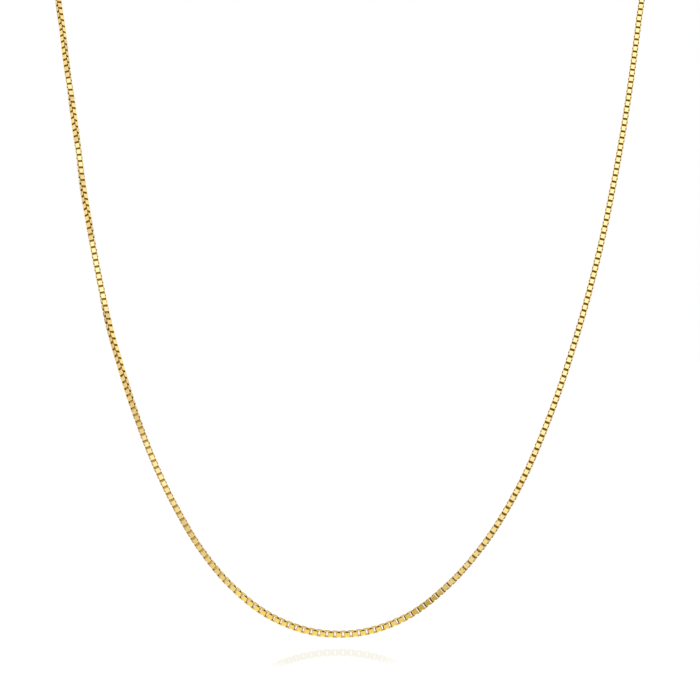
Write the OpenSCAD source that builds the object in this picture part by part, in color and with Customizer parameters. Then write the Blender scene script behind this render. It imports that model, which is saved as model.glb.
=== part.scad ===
// Fine box chain with a plain ring clasp, in the form that it takes when worn.
// Origin: middle of the clasp at the nape. +Z up, +Y away from the wearer's back, +X to the right
// as seen from in front. The chain runs from the clasp down the -X side and up the +X side.

/* [Chain] */
// Width across two opposite faces of the chain
chain_w = 1.1; // [0.9:0.05:1.3]
// Width of the flat strip that each link is folded from
strip_w = 0.75; // [0.6:0.05:0.85]

/* [Clasp] */
// Outside diameter of the clasp ring
ring_od = 5.5; // [5:0.25:7]
// Thickness of the clasp ring's wire
ring_wire = 1; // [0.8:0.05:1.3]
// Thickness of the wire of the two eyes
eye_wire = 0.5; // [0.4:0.05:0.6]
// Room in an eye beyond the width of the strip that passes through it
eye_play = 0.35; // [0.2:0.05:0.6]
// How far an eye's wire is sunk into the clasp ring's wire where they are soldered
eye_sink = 0.2; // [0.1:0.05:0.3]
// Diameter of the small thumb knob on the clasp ring
knob_d = 0.7; // [0.5:0.05:0.9]
// How far the thumb knob stands out of the clasp ring
knob_h = 0.5; // [0.3:0.05:0.8]
// Where the thumb knob stands, as an angle from the -X side
knob_angle = 55; // [40:1:80]

/* [Fit] */
// Gap left between each eye and the end of the chain
end_gap = 0.2; // [0.1:0.05:0.4]

/* [Hidden] */
round_faces = 64;
gold = "#e5bd5c";

eye_id = strip_w + eye_play;
eye_od = eye_id + 2 * eye_wire;
eye_x = ring_od / 2 + eye_od / 2 - eye_sink;
chain_end_x = eye_x + eye_od / 2 + end_gap;

// Middle of the loop, from which the outward side of the chain is reckoned
loop_middle = [0, -60.6, -70];

// Points along the middle of the chain, and how far its faces are turned there.
// Columns: x, y, z, and turn in degrees from the loop's front towards its outward side.
// A whole turn is taken up down the -X side, and the faces swing a little under the front.
route = [
    [-12.9, -1.1, 0, 320],
    [-29.7, -7.8, -0.8, 326],
    [-44.2, -17.8, -4.2, 337],
    [-53.6, -29.3, -12.1, 348],
    [-55.4, -38.1, -24, 346],
    [-54.1, -41.9, -32, 310],
    [-53.1, -44.7, -38, 293],
    [-52, -47.5, -44, 259],
    [-50.9, -50.4, -50, 217],
    [-49.8, -53.2, -56, 177],
    [-48.8, -56, -62, 156],
    [-47.5, -58.9, -68, 121],
    [-46.2, -61.7, -74, 90],
    [-44.5, -65, -81, 89],
    [-42.7, -68.3, -88, 62],
    [-40.4, -71.6, -95, 38],
    [-37.5, -75.4, -103, 14],
    [-34.1, -79.2, -111, 4],
    [-29.9, -83, -119, 7],
    [-25.3, -86.4, -126, 15],
    [-20, -89.3, -131.9, 28],
    [-13, -91.7, -136.9, 36],
    [-6, -92.9, -139.2, 39],
    [2, -93.1, -139.2, 38],
    [9, -92.1, -136.9, 30],
    [16, -90, -132, 17],
    [22.6, -86.8, -125, 10],
    [28.6, -82.7, -116, 8],
    [34.4, -77.1, -104, 5],
    [39.7, -70.7, -90, 4],
    [44.4, -63.7, -75, 2],
    [48.2, -56.8, -60, 1],
    [51.4, -49.8, -45, 0],
    [54.1, -42.8, -30, -1],
    [55.1, -40.1, -24, -2],
    [53.2, -30.7, -12, -8],
    [43.8, -18.7, -4.1, -22],
    [29.5, -8.3, -0.9, -34],
    [12.9, -1.1, 0, -40]
];

// Turn at which the faces lie square to the clasp, and the whole turn taken up on the way round
clasp_turn = atan2(loop_middle[1], -loop_middle[2]);
whole_turn = 360;

// The same columns, closed at both ends by the clasp
points = concat(
    [[-chain_end_x, 0, 0, clasp_turn + whole_turn]],
    route,
    [[chain_end_x, 0, 0, clasp_turn]]
);
last = len(points) - 1;
rings_per_span = 2;
ring_total = last * rings_per_span + 1;
section_sides = 8;

function place(row) = [row[0], row[1], row[2]];
function span(i) = norm(place(points[i + 1]) - place(points[i]));
function slope(i) = (points[i + 1] - points[i]) / span(i);

// Rate of change at a point: the two slopes beside it, each weighted by the other's span
function rate(i) =
    i == 0 || i == last ? [-1, 0, 0, 0] :
    (slope(i - 1) * span(i) + slope(i) * span(i - 1)) / (span(i - 1) + span(i));

// Smooth curve through the points, u from 0 to 1 along span i
function along(i, u) =
    points[i] * (1 + 2 * u) * (1 - u) * (1 - u)
    + points[i + 1] * (3 - 2 * u) * u * u
    + span(i) * (rate(i) * (1 - u) - rate(i + 1) * u) * u * (1 - u);

function unit(v) = v / norm(v);

// Direction of that curve
function heading(i, u) =
    unit(place(
        (points[i + 1] - points[i]) * 6 * u * (1 - u)
        + span(i) * (rate(i) * (1 - u) * (1 - 3 * u) + rate(i + 1) * u * (3 * u - 2))));

// Outline of two crossed links, one turned against the other, with the corners between them bridged
function section() =
    let (a = chain_w / 2, b = strip_w / 2)
    [[a, -b], [a, b], [b, a], [-b, a], [-a, b], [-a, -b], [-b, -a], [b, -a]];

// One ring of the swept tube: face and side directions are turned about the heading
function ring(k) =
    let (
        i = min(floor(k / rings_per_span), last - 1),
        u = k / rings_per_span - i,
        row = along(i, u),
        ahead = heading(i, u),
        away = place(row) - loop_middle,
        outward = unit(away - (away * ahead) * ahead),
        front = cross(outward, ahead),
        face = cos(row[3]) * front + sin(row[3]) * outward,
        side = cos(row[3]) * outward - sin(row[3]) * front)
    [for (p = section()) place(row) + p[0] * face + p[1] * side];

module box_chain() {
    tube_points = [for (k = [0:ring_total - 1]) each ring(k)];
    walls = [
        for (k = [0:ring_total - 2], j = [0:section_sides - 1])
            let (a = k * section_sides + j, b = k * section_sides + (j + 1) % section_sides)
            [a, a + section_sides, b + section_sides, b]
    ];
    first_cap = [for (j = [0:section_sides - 1]) j];
    last_cap = [for (j = [section_sides - 1:-1:0]) (ring_total - 1) * section_sides + j];
    color(gold) polyhedron(tube_points, concat([first_cap], walls, [last_cap]));
}

// Upright ring of round wire, facing along Y
module wire_ring(od, wire) {
    rotate([90, 0, 0])
        rotate_extrude($fn = round_faces)
            translate([(od - wire) / 2, 0])
                circle(d = wire, $fn = round_faces);
}

module thumb_knob() {
    knob_length = ring_wire / 2 + knob_h;
    rotate([0, knob_angle - 90, 0])
        translate([0, 0, (ring_od - ring_wire) / 2])
            cylinder(d = knob_d, h = knob_length, $fn = round_faces);
}

module clasp() {
    color(gold) {
        wire_ring(ring_od, ring_wire);
        for (side = [-1, 1])
            translate([side * eye_x, 0, 0])
                wire_ring(eye_od, eye_wire);
        thumb_knob();
    }
}

box_chain();
clasp();
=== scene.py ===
import math

import bpy
import numpy as np
from bpy.props import FloatProperty, FloatVectorProperty, IntProperty, PointerProperty
from bpy.types import Operator, Panel, PropertyGroup
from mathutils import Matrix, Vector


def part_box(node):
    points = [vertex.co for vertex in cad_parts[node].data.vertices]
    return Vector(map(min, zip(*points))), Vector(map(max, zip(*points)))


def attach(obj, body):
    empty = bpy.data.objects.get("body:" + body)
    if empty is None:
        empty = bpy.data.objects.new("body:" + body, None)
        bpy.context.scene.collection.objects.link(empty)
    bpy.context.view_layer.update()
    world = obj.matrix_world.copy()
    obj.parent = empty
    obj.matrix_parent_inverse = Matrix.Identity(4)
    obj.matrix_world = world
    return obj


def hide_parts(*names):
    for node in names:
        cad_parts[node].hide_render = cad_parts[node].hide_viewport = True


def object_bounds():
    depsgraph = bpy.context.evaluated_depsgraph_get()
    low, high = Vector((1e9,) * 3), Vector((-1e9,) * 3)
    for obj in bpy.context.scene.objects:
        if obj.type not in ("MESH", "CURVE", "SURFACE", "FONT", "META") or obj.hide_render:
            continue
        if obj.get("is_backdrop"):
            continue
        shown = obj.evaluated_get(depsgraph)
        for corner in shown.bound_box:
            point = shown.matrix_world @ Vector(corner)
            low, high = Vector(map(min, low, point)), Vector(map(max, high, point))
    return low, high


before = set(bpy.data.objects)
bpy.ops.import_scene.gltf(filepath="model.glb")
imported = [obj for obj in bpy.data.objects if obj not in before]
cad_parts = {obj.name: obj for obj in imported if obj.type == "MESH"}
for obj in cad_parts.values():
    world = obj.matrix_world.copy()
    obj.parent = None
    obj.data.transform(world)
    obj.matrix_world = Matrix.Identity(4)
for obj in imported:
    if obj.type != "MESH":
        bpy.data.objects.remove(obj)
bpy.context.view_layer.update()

bl_info = {
    "name": "Fine box chain",
    "version": (1, 0, 0),
    "blender": (4, 5, 0),
    "location": "3D View > Sidebar > Box chain",
    "description": "Links, polish and studio for a fine box chain with a ring clasp",
    "category": "Object",
}

MM = 0.001

# Points along the middle of the chain, in millimetres, and how far its faces are turned there.
# Columns: x, y, z, and turn in degrees from the loop's front towards its outward side.
ROUTE = [
    [-12.9, -1.1, 0, 320],
    [-29.7, -7.8, -0.8, 326],
    [-44.2, -17.8, -4.2, 337],
    [-53.6, -29.3, -12.1, 348],
    [-55.4, -38.1, -24, 346],
    [-54.1, -41.9, -32, 310],
    [-53.1, -44.7, -38, 293],
    [-52, -47.5, -44, 259],
    [-50.9, -50.4, -50, 217],
    [-49.8, -53.2, -56, 177],
    [-48.8, -56, -62, 156],
    [-47.5, -58.9, -68, 121],
    [-46.2, -61.7, -74, 90],
    [-44.5, -65, -81, 89],
    [-42.7, -68.3, -88, 62],
    [-40.4, -71.6, -95, 38],
    [-37.5, -75.4, -103, 14],
    [-34.1, -79.2, -111, 4],
    [-29.9, -83, -119, 7],
    [-25.3, -86.4, -126, 15],
    [-20, -89.3, -131.9, 28],
    [-13, -91.7, -136.9, 36],
    [-6, -92.9, -139.2, 39],
    [2, -93.1, -139.2, 38],
    [9, -92.1, -136.9, 30],
    [16, -90, -132, 17],
    [22.6, -86.8, -125, 10],
    [28.6, -82.7, -116, 8],
    [34.4, -77.1, -104, 5],
    [39.7, -70.7, -90, 4],
    [44.4, -63.7, -75, 2],
    [48.2, -56.8, -60, 1],
    [51.4, -49.8, -45, 0],
    [54.1, -42.8, -30, -1],
    [55.1, -40.1, -24, -2],
    [53.2, -30.7, -12, -8],
    [43.8, -18.7, -4.1, -22],
    [29.5, -8.3, -0.9, -34],
    [12.9, -1.1, 0, -40],
]
# Middle of the loop, in millimetres, from which the outward side of the chain is reckoned
LOOP_MIDDLE = np.array([0, -60.6, -70])
# Turn in degrees that the chain takes up on its way round, nearly all of it down the -X side
WHOLE_TURN = 360

# Name of the strip's map, and of the value that gives each link its tone
STRIP_MAP = "strip"
LINK_TONE = "link_tone"
# Seeds of the three random draws
ROCKING_SEED = 11
MARKS_SEED = 23
TONE_SEED = 5
# Range in millimetres from which each link draws where its marks start
MARKS_SPREAD = 40

# Fine marks of the polish: waves to a millimetre along, across and through, and levels of detail
MARKS_PER_MM = (1.5, 30, 1.5)
MARKS_DETAIL = 3
# Haze of the polish: waves to a millimetre, and levels of detail
HAZE_PER_MM = 1.1
HAZE_DETAIL = 2
# Slow change of tone over the clasp: waves to a millimetre
CLASP_TONE_PER_MM = 0.4
# Sockets of the shared polish
POLISH_SOCKETS = {
    "INPUT": {
        "Vector": "NodeSocketVector",
        "Tone": "NodeSocketFloat",
        "Bright": "NodeSocketColor",
        "Deep": "NodeSocketColor",
        "Smooth": "NodeSocketFloat",
        "Haze": "NodeSocketFloat",
    },
    "OUTPUT": {
        "Color": "NodeSocketColor",
        "Roughness": "NodeSocketFloat",
        "Height": "NodeSocketFloat",
    },
}

WHITE = (1, 1, 1)
# Soft patches of light round the chain, as its metal sees them. Columns: azimuth from the front towards
# +X, elevation, angle within which the patch is full, angle beyond which it is gone (all in degrees),
# and the red, green and blue light that it adds to the tent's, or takes off it. Names label the nodes.
LIGHT_PATCHES = {
    "front": [0, -20, 30, 70, 0.17, 0.165, 0.03],
    "key": [0, 57, 9, 29, 0.53, 0.64, 0.94],
    "small_right": [22, 34, 3, 11, 0.07, 0.14, 0.18],
    "left": [-95, 45, 15, 42, 0.28, 0.26, 0.26],
    "right": [100, 38, 15, 45, 0.28, 0.34, 0.34],
    "flag": [29, 3, 7, 21, -0.415, -0.45, -0.63],
    "wall": [180, 40, 12, 32, -0.15, -0.17, -0.4],
    "small_left": [-47, 31, 6, 18, 0.06, 0.02, -0.05],
}
# Where behind the chain is, in the same four columns, for light that comes out from between two links
BEHIND = (180, 0, 60, 110)
# Cards of painted light and shade on the floor, as the metal sees them. Columns: x, y and reach in
# millimetres, red, green, blue.
# Later cards lie over earlier ones, and names label the nodes.
FLOOR_LIGHT_AND_SHADE = {
    "light": [-34, -58, 48, 0.55, 0.45, 0.3],
    "brown": [32, -66, 42, 0.24, 0.125, 0.01],
    "ochre": [70, -200, 135, 0.66, 0.53, 0.2],
    "pale": [-150, -300, 190, 1.12, 1.1, 0.55],
    "shade": [3, -78, 11, 0.05, 0.03, 0.01],
    "glow": [-11, -75, 14, 0.68, 0.55, 0.33],
}
# Share of its reach within which a card or the mirror image is full
SPOT_FULL = 1 / 3
# Light that has met more polished surfaces than this comes out from between two links
MET_OUTSIDE = 1.5
# Sides of the round floor
FLOOR_SIDES = 96
# Width of the camera's sensor in millimetres, and the nearest that it sees in metres
SENSOR_WIDTH = 36
NEAREST_SEEN = 0.01


class ChainSizes(PropertyGroup):
    """Sizes of one link and of the room between links."""

    link_length: FloatProperty(
        name="Link length", description="Outside length of a link along the chain",
        default=1.014 * MM, min=0.5 * MM, unit="LENGTH", precision=6)
    link_width: FloatProperty(
        name="Link width", description="Outside width of a link across the chain",
        default=1.1 * MM, min=0.5 * MM, unit="LENGTH", precision=6)
    strip_width: FloatProperty(
        name="Strip width", description="Width of the flat strip that a link is folded from",
        default=0.75 * MM, min=0.3 * MM, unit="LENGTH", precision=6)
    strip_thickness: FloatProperty(
        name="Strip thickness", description="Thickness of the strip",
        default=0.17 * MM, min=0.05 * MM, unit="LENGTH", precision=6)
    fold: FloatProperty(
        name="Fold", description="How much of each outside corner the fold takes off",
        default=0.1 * MM, min=0.0, unit="LENGTH", precision=6)
    edge: FloatProperty(
        name="Edge", description="Width of the rounding along the strip's edges",
        default=0.07 * MM, min=0.0, unit="LENGTH", precision=6)
    play: FloatProperty(
        name="Play", description="Gap left between two links that hook into each other",
        default=0.005 * MM, min=0.0, unit="LENGTH", precision=6)
    eye_wire: FloatProperty(
        name="Eye wire", description="Thickness of the wire of the clasp's eyes",
        default=0.5 * MM, min=0.1 * MM, unit="LENGTH", precision=6)
    rocking: FloatProperty(
        name="Rocking", description="How far single links rock out of line",
        default=math.radians(0.8), min=0.0, unit="ROTATION")
    samples_per_span: IntProperty(
        name="Samples", description="Steps of the smooth curve between two route points",
        default=64, min=8)


class FinishColours(PropertyGroup):
    """Colour and polish of the metal."""

    gold: FloatVectorProperty(
        name="Gold", description="Colour of the polished metal", subtype="COLOR",
        size=3, min=0.0, max=1.0, default=(0.95, 0.72, 0.29))
    deep_gold: FloatVectorProperty(
        name="Deep gold", description="Colour where the polish has left the metal deeper",
        subtype="COLOR", size=3, min=0.0, max=1.0, default=(0.92, 0.66, 0.23))
    polish: FloatProperty(
        name="Polish", description="Roughness of the best polished parts",
        default=0.08, min=0.02, max=1.0, subtype="FACTOR")
    haze: FloatProperty(
        name="Haze", description="Roughness added where the polish is poorest",
        default=0.08, min=0.0, max=1.0, subtype="FACTOR")
    mark_strength: FloatProperty(
        name="Mark strength", description="How strongly the fine marks catch the light",
        default=0.35, min=0.0, max=1.0, subtype="FACTOR")
    mark_depth: FloatProperty(
        name="Mark depth", description="Depth of the fine marks",
        default=0.002 * MM, min=0.0, unit="LENGTH", precision=6)


class StudioSizes(PropertyGroup):
    """Floor, camera and lights."""

    floor_drop: FloatProperty(
        name="Floor drop", description="Gap between the lowest link and the glossy floor",
        default=0.9 * MM, min=0.0, unit="LENGTH", precision=6)
    floor_radius: FloatProperty(
        name="Floor radius", description="Radius of the round floor",
        default=9.0, min=1.0, unit="LENGTH")
    camera_distance: FloatProperty(
        name="Camera distance", description="From the nape to the camera, level",
        default=507.8 * MM, min=0.1, unit="LENGTH")
    camera_drop: FloatProperty(
        name="Camera drop", description="How far the camera is below the nape",
        default=91.975 * MM, unit="LENGTH", precision=6)
    camera_side: FloatProperty(
        name="Camera side", description="How far the camera stands to the right of the nape",
        default=-0.09 * MM, unit="LENGTH", precision=6)
    lens: FloatProperty(
        name="Lens", description="Focal length of the camera",
        default=127.5, min=10.0, unit="CAMERA")
    floor_white: FloatProperty(
        name="Floor white", description="Brightness of the floor to the camera",
        default=1.06, min=0.0)
    floor_gloss: FloatVectorProperty(
        name="Floor gloss", description="Strength of the mirror image in the floor, for each colour",
        subtype="COLOR", size=3, min=0.0, max=1.0, default=(0.31, 0.32, 0.45))
    floor_ior: FloatProperty(
        name="Floor IOR", description="Index of refraction of the floor's glaze",
        default=1.45, min=1.0)
    floor_blur: FloatProperty(
        name="Floor blur", description="Roughness of the floor's gloss",
        default=0.04, min=0.0, max=1.0, subtype="FACTOR")
    gloss_place: FloatVectorProperty(
        name="Gloss place", description="Where the mirror image is strongest", subtype="TRANSLATION",
        size=2, default=(-5.5 * MM, -108 * MM), unit="LENGTH", precision=6)
    gloss_reach: FloatProperty(
        name="Gloss reach", description="How far from there the mirror image fades out",
        default=25 * MM, min=0.0, unit="LENGTH", precision=6)
    # The next three colours are painted light and shade on the floor as the metal sees it: lit in front, dim
    # behind the chain.
    floor_front: FloatVectorProperty(
        name="Floor in front", description="Colour that the metal sees on the floor in front of the chain",
        subtype="COLOR", size=3, min=0.0, default=(1.03, 0.97, 0.6))
    floor_right: FloatVectorProperty(
        name="Floor behind right", description="Colour that the metal sees on the floor behind its right arm",
        subtype="COLOR", size=3, min=0.0, default=(0.19, 0.092, 0.06))
    floor_left: FloatVectorProperty(
        name="Floor behind left", description="Colour that the metal sees on the floor behind its left arm",
        subtype="COLOR", size=3, min=0.0, default=(0.36, 0.27, 0.22))
    floor_side: FloatProperty(
        name="Floor side", description="How far from the middle the two sides of that floor take full effect",
        default=30 * MM, min=0.001, unit="LENGTH", precision=6)
    floor_edge: FloatProperty(
        name="Floor edge", description="How far in front of the nape the floor's dim part starts",
        default=84 * MM, unit="LENGTH", precision=6)
    floor_fade: FloatProperty(
        name="Floor fade", description="Half the width of the change to the floor's dim part",
        default=6 * MM, min=0.0, unit="LENGTH", precision=6)
    tent: FloatVectorProperty(
        name="Tent", description="Light of the tent all round",
        subtype="COLOR", size=3, min=0.0, default=(0.8, 0.784, 0.784))
    inner_share: FloatVectorProperty(
        name="Inner share", description="Share of each colour of light that comes out from between two links",
        subtype="COLOR", size=3, min=0.0, max=1.0, default=(0.34, 0.32, 0.2))
    inner_back: FloatVectorProperty(
        name="Inner back", description="The same shares for the light behind the chain",
        subtype="COLOR", size=3, min=0.0, max=1.0, default=(0.23, 0.195, 0.2))


def unit(rows):
    """Rows scaled to length one."""
    return rows / np.linalg.norm(rows, axis=1)[:, None]


def running_length(points):
    """Distance along a row of points from the first of them to each."""
    return np.concatenate([[0], np.cumsum(np.linalg.norm(np.diff(points, axis=0), axis=1))])


def route_end(sizes):
    """Distance of the first and last link's middle from the clasp's middle: the link's end bar lies
    inside the clasp's eye, against the eye's wire."""
    eye_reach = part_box("clasp")[1].x
    bar_inside = eye_reach - sizes.eye_wire - sizes.play - sizes.strip_thickness
    return bar_inside + sizes.link_length / 2


def smooth_route(sizes):
    """Cubic curve through the route's points, in metres and degrees. The rate of change at a point is
    the mean of the two slopes beside it, each weighted by the other's span, and at both ends the chain
    runs straight towards -X. Gives rows of x, y, z, turn."""
    clasp_turn = math.degrees(math.atan2(LOOP_MIDDLE[1], -LOOP_MIDDLE[2]))
    end = route_end(sizes)
    points = np.array(ROUTE, float)
    points[:, :3] *= MM
    points = np.vstack([[-end, 0, 0, clasp_turn + WHOLE_TURN], points, [end, 0, 0, clasp_turn]])
    step = np.diff(points, axis=0)
    span = np.linalg.norm(step[:, :3], axis=1)[:, None]
    slope = step / span
    rate = np.empty_like(points)
    rate[1:-1] = (slope[:-1] * span[1:] + slope[1:] * span[:-1]) / (span[1:] + span[:-1])
    rate[0] = rate[-1] = (-1, 0, 0, 0)
    u = (np.arange(sizes.samples_per_span) / sizes.samples_per_span)[None, :, None]
    start, stop = points[:-1, None], points[1:, None]
    leave, arrive = rate[:-1, None] * span[:, None], rate[1:, None] * span[:, None]
    curve = (start * (1 + 2 * u) * (1 - u) ** 2 + stop * (3 - 2 * u) * u ** 2
             + (leave * (1 - u) - arrive * u) * u * (1 - u))
    return np.vstack([curve.reshape(-1, 4), points[-1]])


def link_frames(sizes):
    """Middle and three directions of every link. Links sit at even steps of arc length along the route,
    an odd number of them, so the two end links lie alike. The outward side points away from the loop's
    middle, square to the chain, and the faces are turned about the chain by the route's turn. Every
    second link is turned a quarter more."""
    curve = smooth_route(sizes)
    arc = running_length(curve[:, :3])
    pitch = sizes.link_length - 2 * sizes.strip_thickness - sizes.play
    pairs = int(round(arc[-1] / pitch / 2))
    stations = np.linspace(0, arc[-1], 2 * pairs + 1)
    rows = np.stack([np.interp(stations, arc, column) for column in curve.T], axis=1)
    slopes = np.gradient(curve[:, :3], arc, axis=0)
    ahead = unit(np.stack([np.interp(stations, arc, column) for column in slopes.T], axis=1))
    away = rows[:, :3] - LOOP_MIDDLE * MM
    outward = unit(away - np.sum(away * ahead, axis=1)[:, None] * ahead)
    front = np.cross(outward, ahead)
    quarter = np.arange(len(rows)) % 2 * math.pi / 2
    turn = (np.radians(rows[:, 3]) + quarter)[:, None]
    face = np.cos(turn) * front + np.sin(turn) * outward
    side = np.cos(turn) * outward - np.sin(turn) * front
    return rows[:, :3], ahead, face, side


def rocked(ahead, face, side, most):
    """The same directions with each link turned by small random angles, first about the chain and then
    about its own strip's width, as worn links sit in each other."""
    draws = np.random.default_rng(ROCKING_SEED)
    roll, pitch = draws.uniform(-most, most, (2, len(ahead), 1))
    roll_face = np.cos(roll) * face + np.sin(roll) * side
    roll_side = np.cos(roll) * side - np.sin(roll) * face
    rock_ahead = np.cos(pitch) * ahead + np.sin(pitch) * roll_face
    rock_face = np.cos(pitch) * roll_face - np.sin(pitch) * ahead
    return rock_ahead, rock_face, roll_side


def strip_section(sizes):
    """Outline of the strip with its edges rounded off: depth into the link from its outside, and place
    across the strip. Eight points from the outside face round by the inside face."""
    half, thick, edge = sizes.strip_width / 2, sizes.strip_thickness, sizes.edge
    depth = np.array([0, 0, edge, thick - edge, thick, thick, thick - edge, edge])
    across = np.array([edge - half, half - edge, half, half, half - edge, edge - half, -half, -half])
    return depth, across


def link_grid(sizes):
    """One link lying along X with its strip's width along Z: the strip's section carried round a
    rectangle with cut corners. The outline at a depth is the outside one moved inwards by that depth,
    which shortens each corner cut by 2 - sqrt(2) times the depth. Grid of 8 corners by 8 section points."""
    depth, across = strip_section(sizes)
    long = sizes.link_length / 2 - depth
    wide = sizes.link_width / 2 - depth
    cut = sizes.fold - (2 - math.sqrt(2)) * depth
    x = np.stack([long, long - cut, cut - long, -long, -long, cut - long, long - cut, long])
    y = np.stack([wide - cut, wide, wide, wide - cut, cut - wide, -wide, -wide, cut - wide])
    z = np.broadcast_to(across, x.shape)
    return np.stack([x, y, z], axis=-1)


def link_normals():
    """Shading directions of that link's points. Each point takes the direction of the flat that it
    borders, so flats stay flat and the narrow faces between them shade as round."""
    x, y, z = np.eye(3)
    flats = np.stack([x, y, y, -x, -x, -y, -y, x])
    up, down = np.broadcast_to(z, flats.shape), np.broadcast_to(-z, flats.shape)
    return np.stack([flats, flats, up, up, -flats, -flats, down, down], axis=1)


def face_corners(rows, columns):
    """Row and column of the four corners of every face of a grid that closes on itself both ways, facing
    outwards. Past the last row or column the count goes on, so the remainder gives the point there."""
    row, column = np.divmod(np.arange(rows * columns)[:, None], columns)
    return row + [0, 1, 1, 0], column + [0, 0, 1, 1]


def link_faces(rows, columns, links):
    """Point numbers of the four corners of every face of all the links."""
    corner_rows, corner_columns = face_corners(rows, columns)
    quads = corner_rows % rows * columns + corner_columns % columns
    first_points = np.arange(links)[:, None, None] * rows * columns
    return (first_points + quads).reshape(-1, 4)


def strip_map(grid, links):
    """Map of the strip's surface in millimetres, for marks that run along it: distance round the link,
    and distance round the strip's section. Each link starts at its own random place."""
    corner_rows, corner_columns = face_corners(*grid.shape[:2])
    round_link = running_length(np.vstack([grid[:, 0], grid[:1, 0]]))
    round_section = running_length(np.vstack([grid[0], grid[0, :1]]))
    one = np.stack([round_link[corner_rows], round_section[corner_columns]], -1).reshape(-1, 2) / MM
    starts = np.random.default_rng(MARKS_SEED).uniform(0, MARKS_SPREAD, (links, 1, 2))
    return (one + starts).reshape(-1, 2)


def along_axes(rows, axes):
    """Each row of three numbers as lengths along each link's three directions, added up."""
    return np.einsum("pk,lkx->lpx", rows.reshape(-1, 3), axes)


def chain_mesh(sizes):
    """All the links as one mesh: each is the same grid, placed by its middle and directions."""
    middle, *directions = link_frames(sizes)
    axes = np.stack(rocked(*directions, sizes.rocking), axis=1)
    grid = link_grid(sizes)
    rows, columns = grid.shape[:2]
    links = len(middle)
    points = middle[:, None] + along_axes(grid, axes)
    shading = along_axes(link_normals(), axes)
    tone = np.random.default_rng(TONE_SEED).uniform(0, 1, links)
    point_tone = np.repeat(tone, rows * columns).astype(np.float32)
    mesh = bpy.data.meshes.new("box_chain_links")
    mesh.from_pydata(points.reshape(-1, 3), [], link_faces(rows, columns, links))
    mesh.shade_smooth()
    mesh.normals_split_custom_set_from_vertices(shading.reshape(-1, 3))
    mesh.uv_layers.new(name=STRIP_MAP).uv.foreach_set("vector", strip_map(grid, links).ravel())
    mesh.attributes.new(LINK_TONE, "FLOAT", "POINT").data.foreach_set("value", point_tone)
    mesh.update()
    return mesh


def disc_mesh(name, radius, height):
    """Flat round floor facing up: a fan of triangles from its middle to even steps round its edge."""
    here = np.arange(FLOOR_SIDES)
    angle = here / FLOOR_SIDES * math.tau
    rim = np.stack([radius * np.cos(angle), radius * np.sin(angle), np.full(FLOOR_SIDES, height)], -1)
    fan = np.stack([np.zeros_like(here), here + 1, (here + 1) % FLOOR_SIDES + 1], -1)
    mesh = bpy.data.meshes.new(name)
    mesh.from_pydata(np.vstack([[0, 0, height], rim]), [], fan)
    return mesh


def add_object(name, mesh, material):
    """A mesh object at the origin with one material."""
    piece = bpy.data.objects.new(name, mesh)
    bpy.context.scene.collection.objects.link(piece)
    mesh.materials.append(material)
    return piece


def empty_tree(owner):
    """The node tree of a new material or world, with nothing in it."""
    owner.use_nodes = True
    owner.node_tree.nodes.clear()
    return owner.node_tree


def feed(tree, socket, value):
    """Joins another node's output to a socket, or sets the socket to a number, direction or colour."""
    if isinstance(value, bpy.types.NodeSocket):
        tree.links.new(value, socket)
    elif socket.type == "RGBA":
        socket.default_value = (*value[:3], 1)
    else:
        socket.default_value = value


def new_node(tree, kind, sockets=None, **settings):
    """A node with its settings, and with its input sockets fed by name or number."""
    node = tree.nodes.new(kind)
    for name, value in settings.items():
        setattr(node, name, value)
    for key, value in (sockets or {}).items():
        feed(tree, node.inputs[key], value)
    return node


def combine(tree, operation, *values):
    """Number made from one, two or three numbers."""
    return new_node(tree, "ShaderNodeMath", dict(enumerate(values)), operation=operation).outputs["Value"]


def combine_vectors(tree, operation, *values):
    """Outputs of a vector calculation from two or three vectors or colours."""
    return new_node(tree, "ShaderNodeVectorMath", dict(enumerate(values)), operation=operation).outputs


def times(tree, first, second):
    """Two colours multiplied."""
    return combine_vectors(tree, "MULTIPLY", first, second)["Vector"]


def mixed_colour(tree, share, first, second):
    """The first colour where the share is nothing and the second where it is one."""
    sockets = {"Factor": share, "A": first, "B": second}
    return new_node(tree, "ShaderNodeMix", sockets, data_type="RGBA").outputs["Result"]


def mixed_shader(tree, share, first, second):
    """The first shader where the share is nothing and the second where it is one."""
    sockets = {"Fac": share, 1: first, 2: second}
    return new_node(tree, "ShaderNodeMixShader", sockets).outputs["Shader"]


def fade(tree, value, start, stop):
    """Rises smoothly from nothing at the start value to one at the stop value."""
    sockets = {"Value": value, "From Min": start, "From Max": stop}
    return new_node(tree, "ShaderNodeMapRange", sockets, interpolation_type="SMOOTHSTEP").outputs["Result"]


def polish_group():
    """Shared effect: fine marks and haze of hand polished metal. Marks run along the first of the two
    map directions; the haze is a soft cloud. Gives a colour, a roughness and a height."""
    group = bpy.data.node_groups.get("hand_polish")
    if group:
        return group
    group = bpy.data.node_groups.new("hand_polish", "ShaderNodeTree")
    for in_out, sockets in POLISH_SOCKETS.items():
        for name, kind in sockets.items():
            group.interface.new_socket(name=name, in_out=in_out, socket_type=kind)
    given = new_node(group, "NodeGroupInput").outputs
    stretch = new_node(group, "ShaderNodeMapping", {"Vector": given["Vector"], "Scale": MARKS_PER_MM})
    marks = new_node(group, "ShaderNodeTexNoise", {
        "Vector": stretch.outputs["Vector"], "Scale": 1, "Detail": MARKS_DETAIL})
    cloud = new_node(group, "ShaderNodeTexNoise", {
        "Vector": given["Vector"], "Scale": HAZE_PER_MM, "Detail": HAZE_DETAIL}).outputs["Fac"]
    deepness = combine(group, "MULTIPLY", cloud, given["Tone"])
    new_node(group, "NodeGroupOutput", {
        "Color": mixed_colour(group, deepness, given["Bright"], given["Deep"]),
        "Roughness": combine(group, "MULTIPLY_ADD", cloud, given["Haze"], given["Smooth"]),
        "Height": marks.outputs["Fac"]})
    return group


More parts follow.
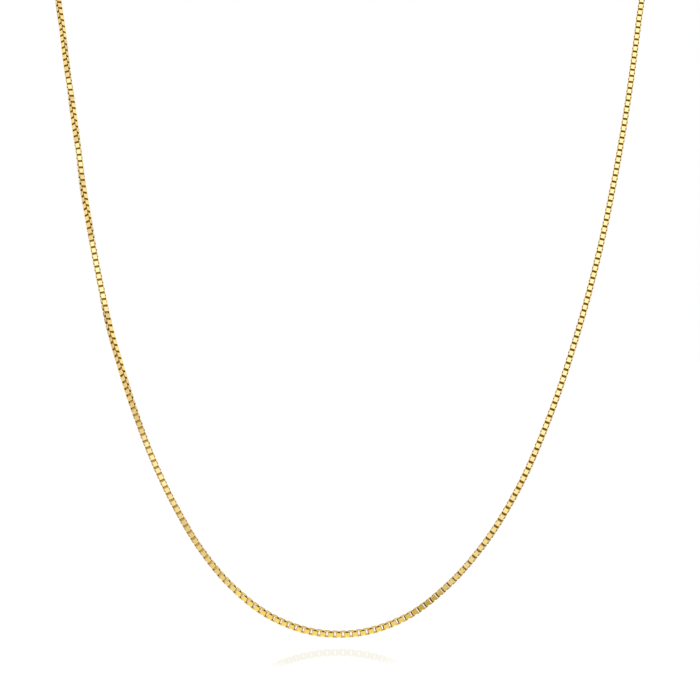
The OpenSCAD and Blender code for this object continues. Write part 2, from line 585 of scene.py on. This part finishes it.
def gold_material(name, finish, place_from, tone_from):
    """Polished gold: the shared polish feeds colour, roughness and a shallow bump."""
    material = bpy.data.materials.new(name)
    tree = empty_tree(material)
    polish = new_node(tree, "ShaderNodeGroup", {
        "Vector": place_from(tree), "Tone": tone_from(tree),
        "Bright": finish.gold, "Deep": finish.deep_gold,
        "Smooth": finish.polish, "Haze": finish.haze}, node_tree=polish_group()).outputs
    bump = new_node(tree, "ShaderNodeBump", {
        "Strength": finish.mark_strength, "Distance": finish.mark_depth, "Height": polish["Height"]})
    shader = new_node(tree, "ShaderNodeBsdfPrincipled", {
        "Metallic": 1, "Base Color": polish["Color"],
        "Roughness": polish["Roughness"], "Normal": bump.outputs["Normal"]})
    new_node(tree, "ShaderNodeOutputMaterial", {"Surface": shader.outputs["BSDF"]})
    return material


def strip_place(tree):
    """The strip's own map, in millimetres."""
    return new_node(tree, "ShaderNodeUVMap", uv_map=STRIP_MAP).outputs["UV"]


def link_tone(tree):
    """Random tone of each link."""
    return new_node(tree, "ShaderNodeAttribute", attribute_name=LINK_TONE).outputs["Fac"]


def object_place(tree):
    """Object coordinates brought to millimetres."""
    where = new_node(tree, "ShaderNodeTexCoord").outputs["Object"]
    return new_node(tree, "ShaderNodeMapping", {"Vector": where, "Scale": (1 / MM,) * 3}).outputs["Vector"]


def cloud_tone(tree):
    """Slow change of tone over a larger piece."""
    sockets = {"Vector": object_place(tree), "Scale": CLASP_TONE_PER_MM}
    return new_node(tree, "ShaderNodeTexNoise", sockets).outputs["Fac"]


def seen_by_camera(tree):
    """One for the camera's own sight and nothing for what the metal sees."""
    return new_node(tree, "ShaderNodeLightPath").outputs["Is Camera Ray"]


def between_links(tree):
    """One for light that has gone from link to link before it leaves the chain, and otherwise nothing."""
    met = new_node(tree, "ShaderNodeLightPath").outputs["Glossy Depth"]
    return combine(tree, "GREATER_THAN", met, MET_OUTSIDE)


def floor_spot(tree, place, reach):
    """One round a place on the floor, falling smoothly to nothing at the reach."""
    where = new_node(tree, "ShaderNodeTexCoord").outputs["Object"]
    apart = combine_vectors(tree, "DISTANCE", where, place)["Value"]
    return fade(tree, apart, reach, reach * SPOT_FULL)


def floor_colour(tree, studio, floor_z):
    """Painted light and shade that the metal sees on the floor: pale in front, dim behind the chain from
    right to left, with soft round cards of painted light and shade on it."""
    where = new_node(tree, "ShaderNodeTexCoord").outputs["Object"]
    parts = new_node(tree, "ShaderNodeSeparateXYZ", {"Vector": where}).outputs
    left = fade(tree, parts["X"], studio.floor_side, -studio.floor_side)
    edge_start = -studio.floor_edge - studio.floor_fade
    edge_stop = -studio.floor_edge + studio.floor_fade
    behind = fade(tree, parts["Y"], edge_start, edge_stop)
    dim = mixed_colour(tree, left, studio.floor_right, studio.floor_left)
    colour = mixed_colour(tree, behind, studio.floor_front, dim)
    for name, (x, y, reach, *card) in FLOOR_LIGHT_AND_SHADE.items():
        near = floor_spot(tree, (x * MM, y * MM, floor_z), reach * MM)
        colour = mixed_colour(tree, near, colour, card)
        colour.node.label = name
    return colour


def floor_material(studio, floor_z):
    """Pale glossy floor. The camera sees it white, with a faint mirror image at a low angle, which takes
    as much off the white as it adds. The metal sees it lit, and dimmer from between two links."""
    material = bpy.data.materials.new("pale_floor")
    tree = empty_tree(material)
    near = floor_spot(tree, (*studio.gloss_place, floor_z), studio.gloss_reach)
    glaze = new_node(tree, "ShaderNodeFresnel", {"IOR": studio.floor_ior}).outputs["Fac"]
    gloss = times(tree, studio.floor_gloss, combine(tree, "MULTIPLY", near, glaze))
    rest = combine_vectors(tree, "SUBTRACT", WHITE, gloss)["Vector"]
    white = new_node(tree, "ShaderNodeEmission", {"Color": rest, "Strength": studio.floor_white})
    mirror = new_node(tree, "ShaderNodeBsdfGlossy", {"Color": gloss, "Roughness": studio.floor_blur})
    seen = new_node(tree, "ShaderNodeAddShader", {0: white.outputs["Emission"], 1: mirror.outputs["BSDF"]})
    share = mixed_colour(tree, between_links(tree), WHITE, studio.inner_share)
    colour = times(tree, floor_colour(tree, studio, floor_z), share)
    lit = new_node(tree, "ShaderNodeEmission", {"Color": colour})
    both = mixed_shader(tree, seen_by_camera(tree), lit.outputs["Emission"], seen.outputs["Shader"])
    new_node(tree, "ShaderNodeOutputMaterial", {"Surface": both})
    return material


def aim(azimuth, elevation):
    """Unit direction: azimuth in degrees from the front (-Y) towards +X, and elevation in degrees."""
    a, e = math.radians(azimuth), math.radians(elevation)
    return (math.sin(a) * math.cos(e), -math.cos(a) * math.cos(e), math.sin(e))


def soft_patch(tree, azimuth, elevation, full, gone):
    """One within the full angle of a direction, falling smoothly to nothing at the gone angle."""
    direction = new_node(tree, "ShaderNodeTexCoord").outputs["Generated"]
    near = combine_vectors(tree, "DOT_PRODUCT", direction, aim(azimuth, elevation))["Value"]
    return fade(tree, near, math.cos(math.radians(gone)), math.cos(math.radians(full)))


def studio_world(studio):
    """White to the camera. The metal sees a soft tent of light with the patches added to it. Light that
    comes out from between two links is dimmer, above all from behind the chain."""
    world = bpy.data.worlds.new("studio")
    world.cycles.sampling_method = "NONE"
    tree = empty_tree(world)
    light = studio.tent
    for name, (*place, red, green, blue) in LIGHT_PATCHES.items():
        patch = soft_patch(tree, *place)
        light = combine_vectors(tree, "MULTIPLY_ADD", (red, green, blue), patch, light)["Vector"]
        light.node.label = name
    inner = mixed_colour(tree, soft_patch(tree, *BEHIND), studio.inner_share, studio.inner_back)
    share = mixed_colour(tree, between_links(tree), WHITE, inner)
    metal = new_node(tree, "ShaderNodeBackground", {"Color": times(tree, light, share)})
    seen = new_node(tree, "ShaderNodeBackground", {"Color": WHITE})
    both = mixed_shader(tree, seen_by_camera(tree), metal.outputs["Background"], seen.outputs["Background"])
    new_node(tree, "ShaderNodeOutputWorld", {"Surface": both})
    return world


def studio_camera(studio):
    """Level camera in front of the chain, looking towards +Y."""
    data = bpy.data.cameras.new("camera")
    data.lens = studio.lens
    data.sensor_width = SENSOR_WIDTH
    data.clip_start = NEAREST_SEEN
    camera = bpy.data.objects.new("camera", data)
    camera.location = (studio.camera_side, -studio.camera_distance, -studio.camera_drop)
    camera.rotation_euler = (math.pi / 2, 0, 0)
    return camera


class BOXCHAIN_OT_links(Operator):
    """Builds the interlocking links along the route, in place of the plain tube"""

    bl_idname = "boxchain.links"
    bl_label = "Chain links"

    def execute(self, context):
        scene = context.scene
        material = gold_material("polished_gold_links", scene.finish_colours, strip_place, link_tone)
        links = add_object("box_chain_links", chain_mesh(scene.chain_sizes), material)
        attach(links, "root")
        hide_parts("box_chain")
        return {"FINISHED"}


class BOXCHAIN_OT_clasp(Operator):
    """Gives the clasp its polished metal"""

    bl_idname = "boxchain.clasp"
    bl_label = "Clasp finish"

    def execute(self, context):
        finish = context.scene.finish_colours
        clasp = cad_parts["clasp"]
        clasp.data.materials.clear()
        clasp.data.materials.append(gold_material("polished_gold_clasp", finish, object_place, cloud_tone))
        return {"FINISHED"}


class BOXCHAIN_OT_stage(Operator):
    """Sets up the pale floor, the soft lights and the camera"""

    bl_idname = "boxchain.stage"
    bl_label = "Stage"

    def execute(self, context):
        scene = context.scene
        studio = scene.studio_sizes
        floor_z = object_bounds()[0].z - studio.floor_drop
        floor = add_object(
            "floor", disc_mesh("floor", studio.floor_radius, floor_z), floor_material(studio, floor_z))
        floor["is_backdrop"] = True
        scene.world = studio_world(studio)
        scene.camera = studio_camera(studio)
        scene.collection.objects.link(scene.camera)
        scene.view_settings.view_transform = "Standard"
        return {"FINISHED"}


class BOXCHAIN_PT_panel(Panel):
    """Lists the chain's operators and sizes"""

    bl_idname = "BOXCHAIN_PT_panel"
    bl_label = "Box chain"
    bl_space_type = "VIEW_3D"
    bl_region_type = "UI"
    bl_category = "Box chain"

    def draw(self, context):
        scene = context.scene
        for group in (scene.chain_sizes, scene.finish_colours, scene.studio_sizes):
            box = self.layout.box()
            for name in group.__annotations__:
                box.prop(group, name)
        for operator in OPERATORS:
            self.layout.operator(operator.bl_idname)


OPERATORS = (BOXCHAIN_OT_links, BOXCHAIN_OT_clasp, BOXCHAIN_OT_stage)
CLASSES = (ChainSizes, FinishColours, StudioSizes, *OPERATORS, BOXCHAIN_PT_panel)


def register():
    """Makes the classes known, and gives the scene its sizes and colours."""
    for item in CLASSES:
        bpy.utils.register_class(item)
    bpy.types.Scene.chain_sizes = PointerProperty(type=ChainSizes)
    bpy.types.Scene.finish_colours = PointerProperty(type=FinishColours)
    bpy.types.Scene.studio_sizes = PointerProperty(type=StudioSizes)


def unregister():
    """Takes back what register did."""
    del bpy.types.Scene.studio_sizes
    del bpy.types.Scene.finish_colours
    del bpy.types.Scene.chain_sizes
    for item in reversed(CLASSES):
        bpy.utils.unregister_class(item)


def main():
    """Builds the whole scene."""
    register()
    bpy.ops.boxchain.links()
    bpy.ops.boxchain.clasp()
    bpy.ops.boxchain.stage()


if __name__ == "__main__":
    main()
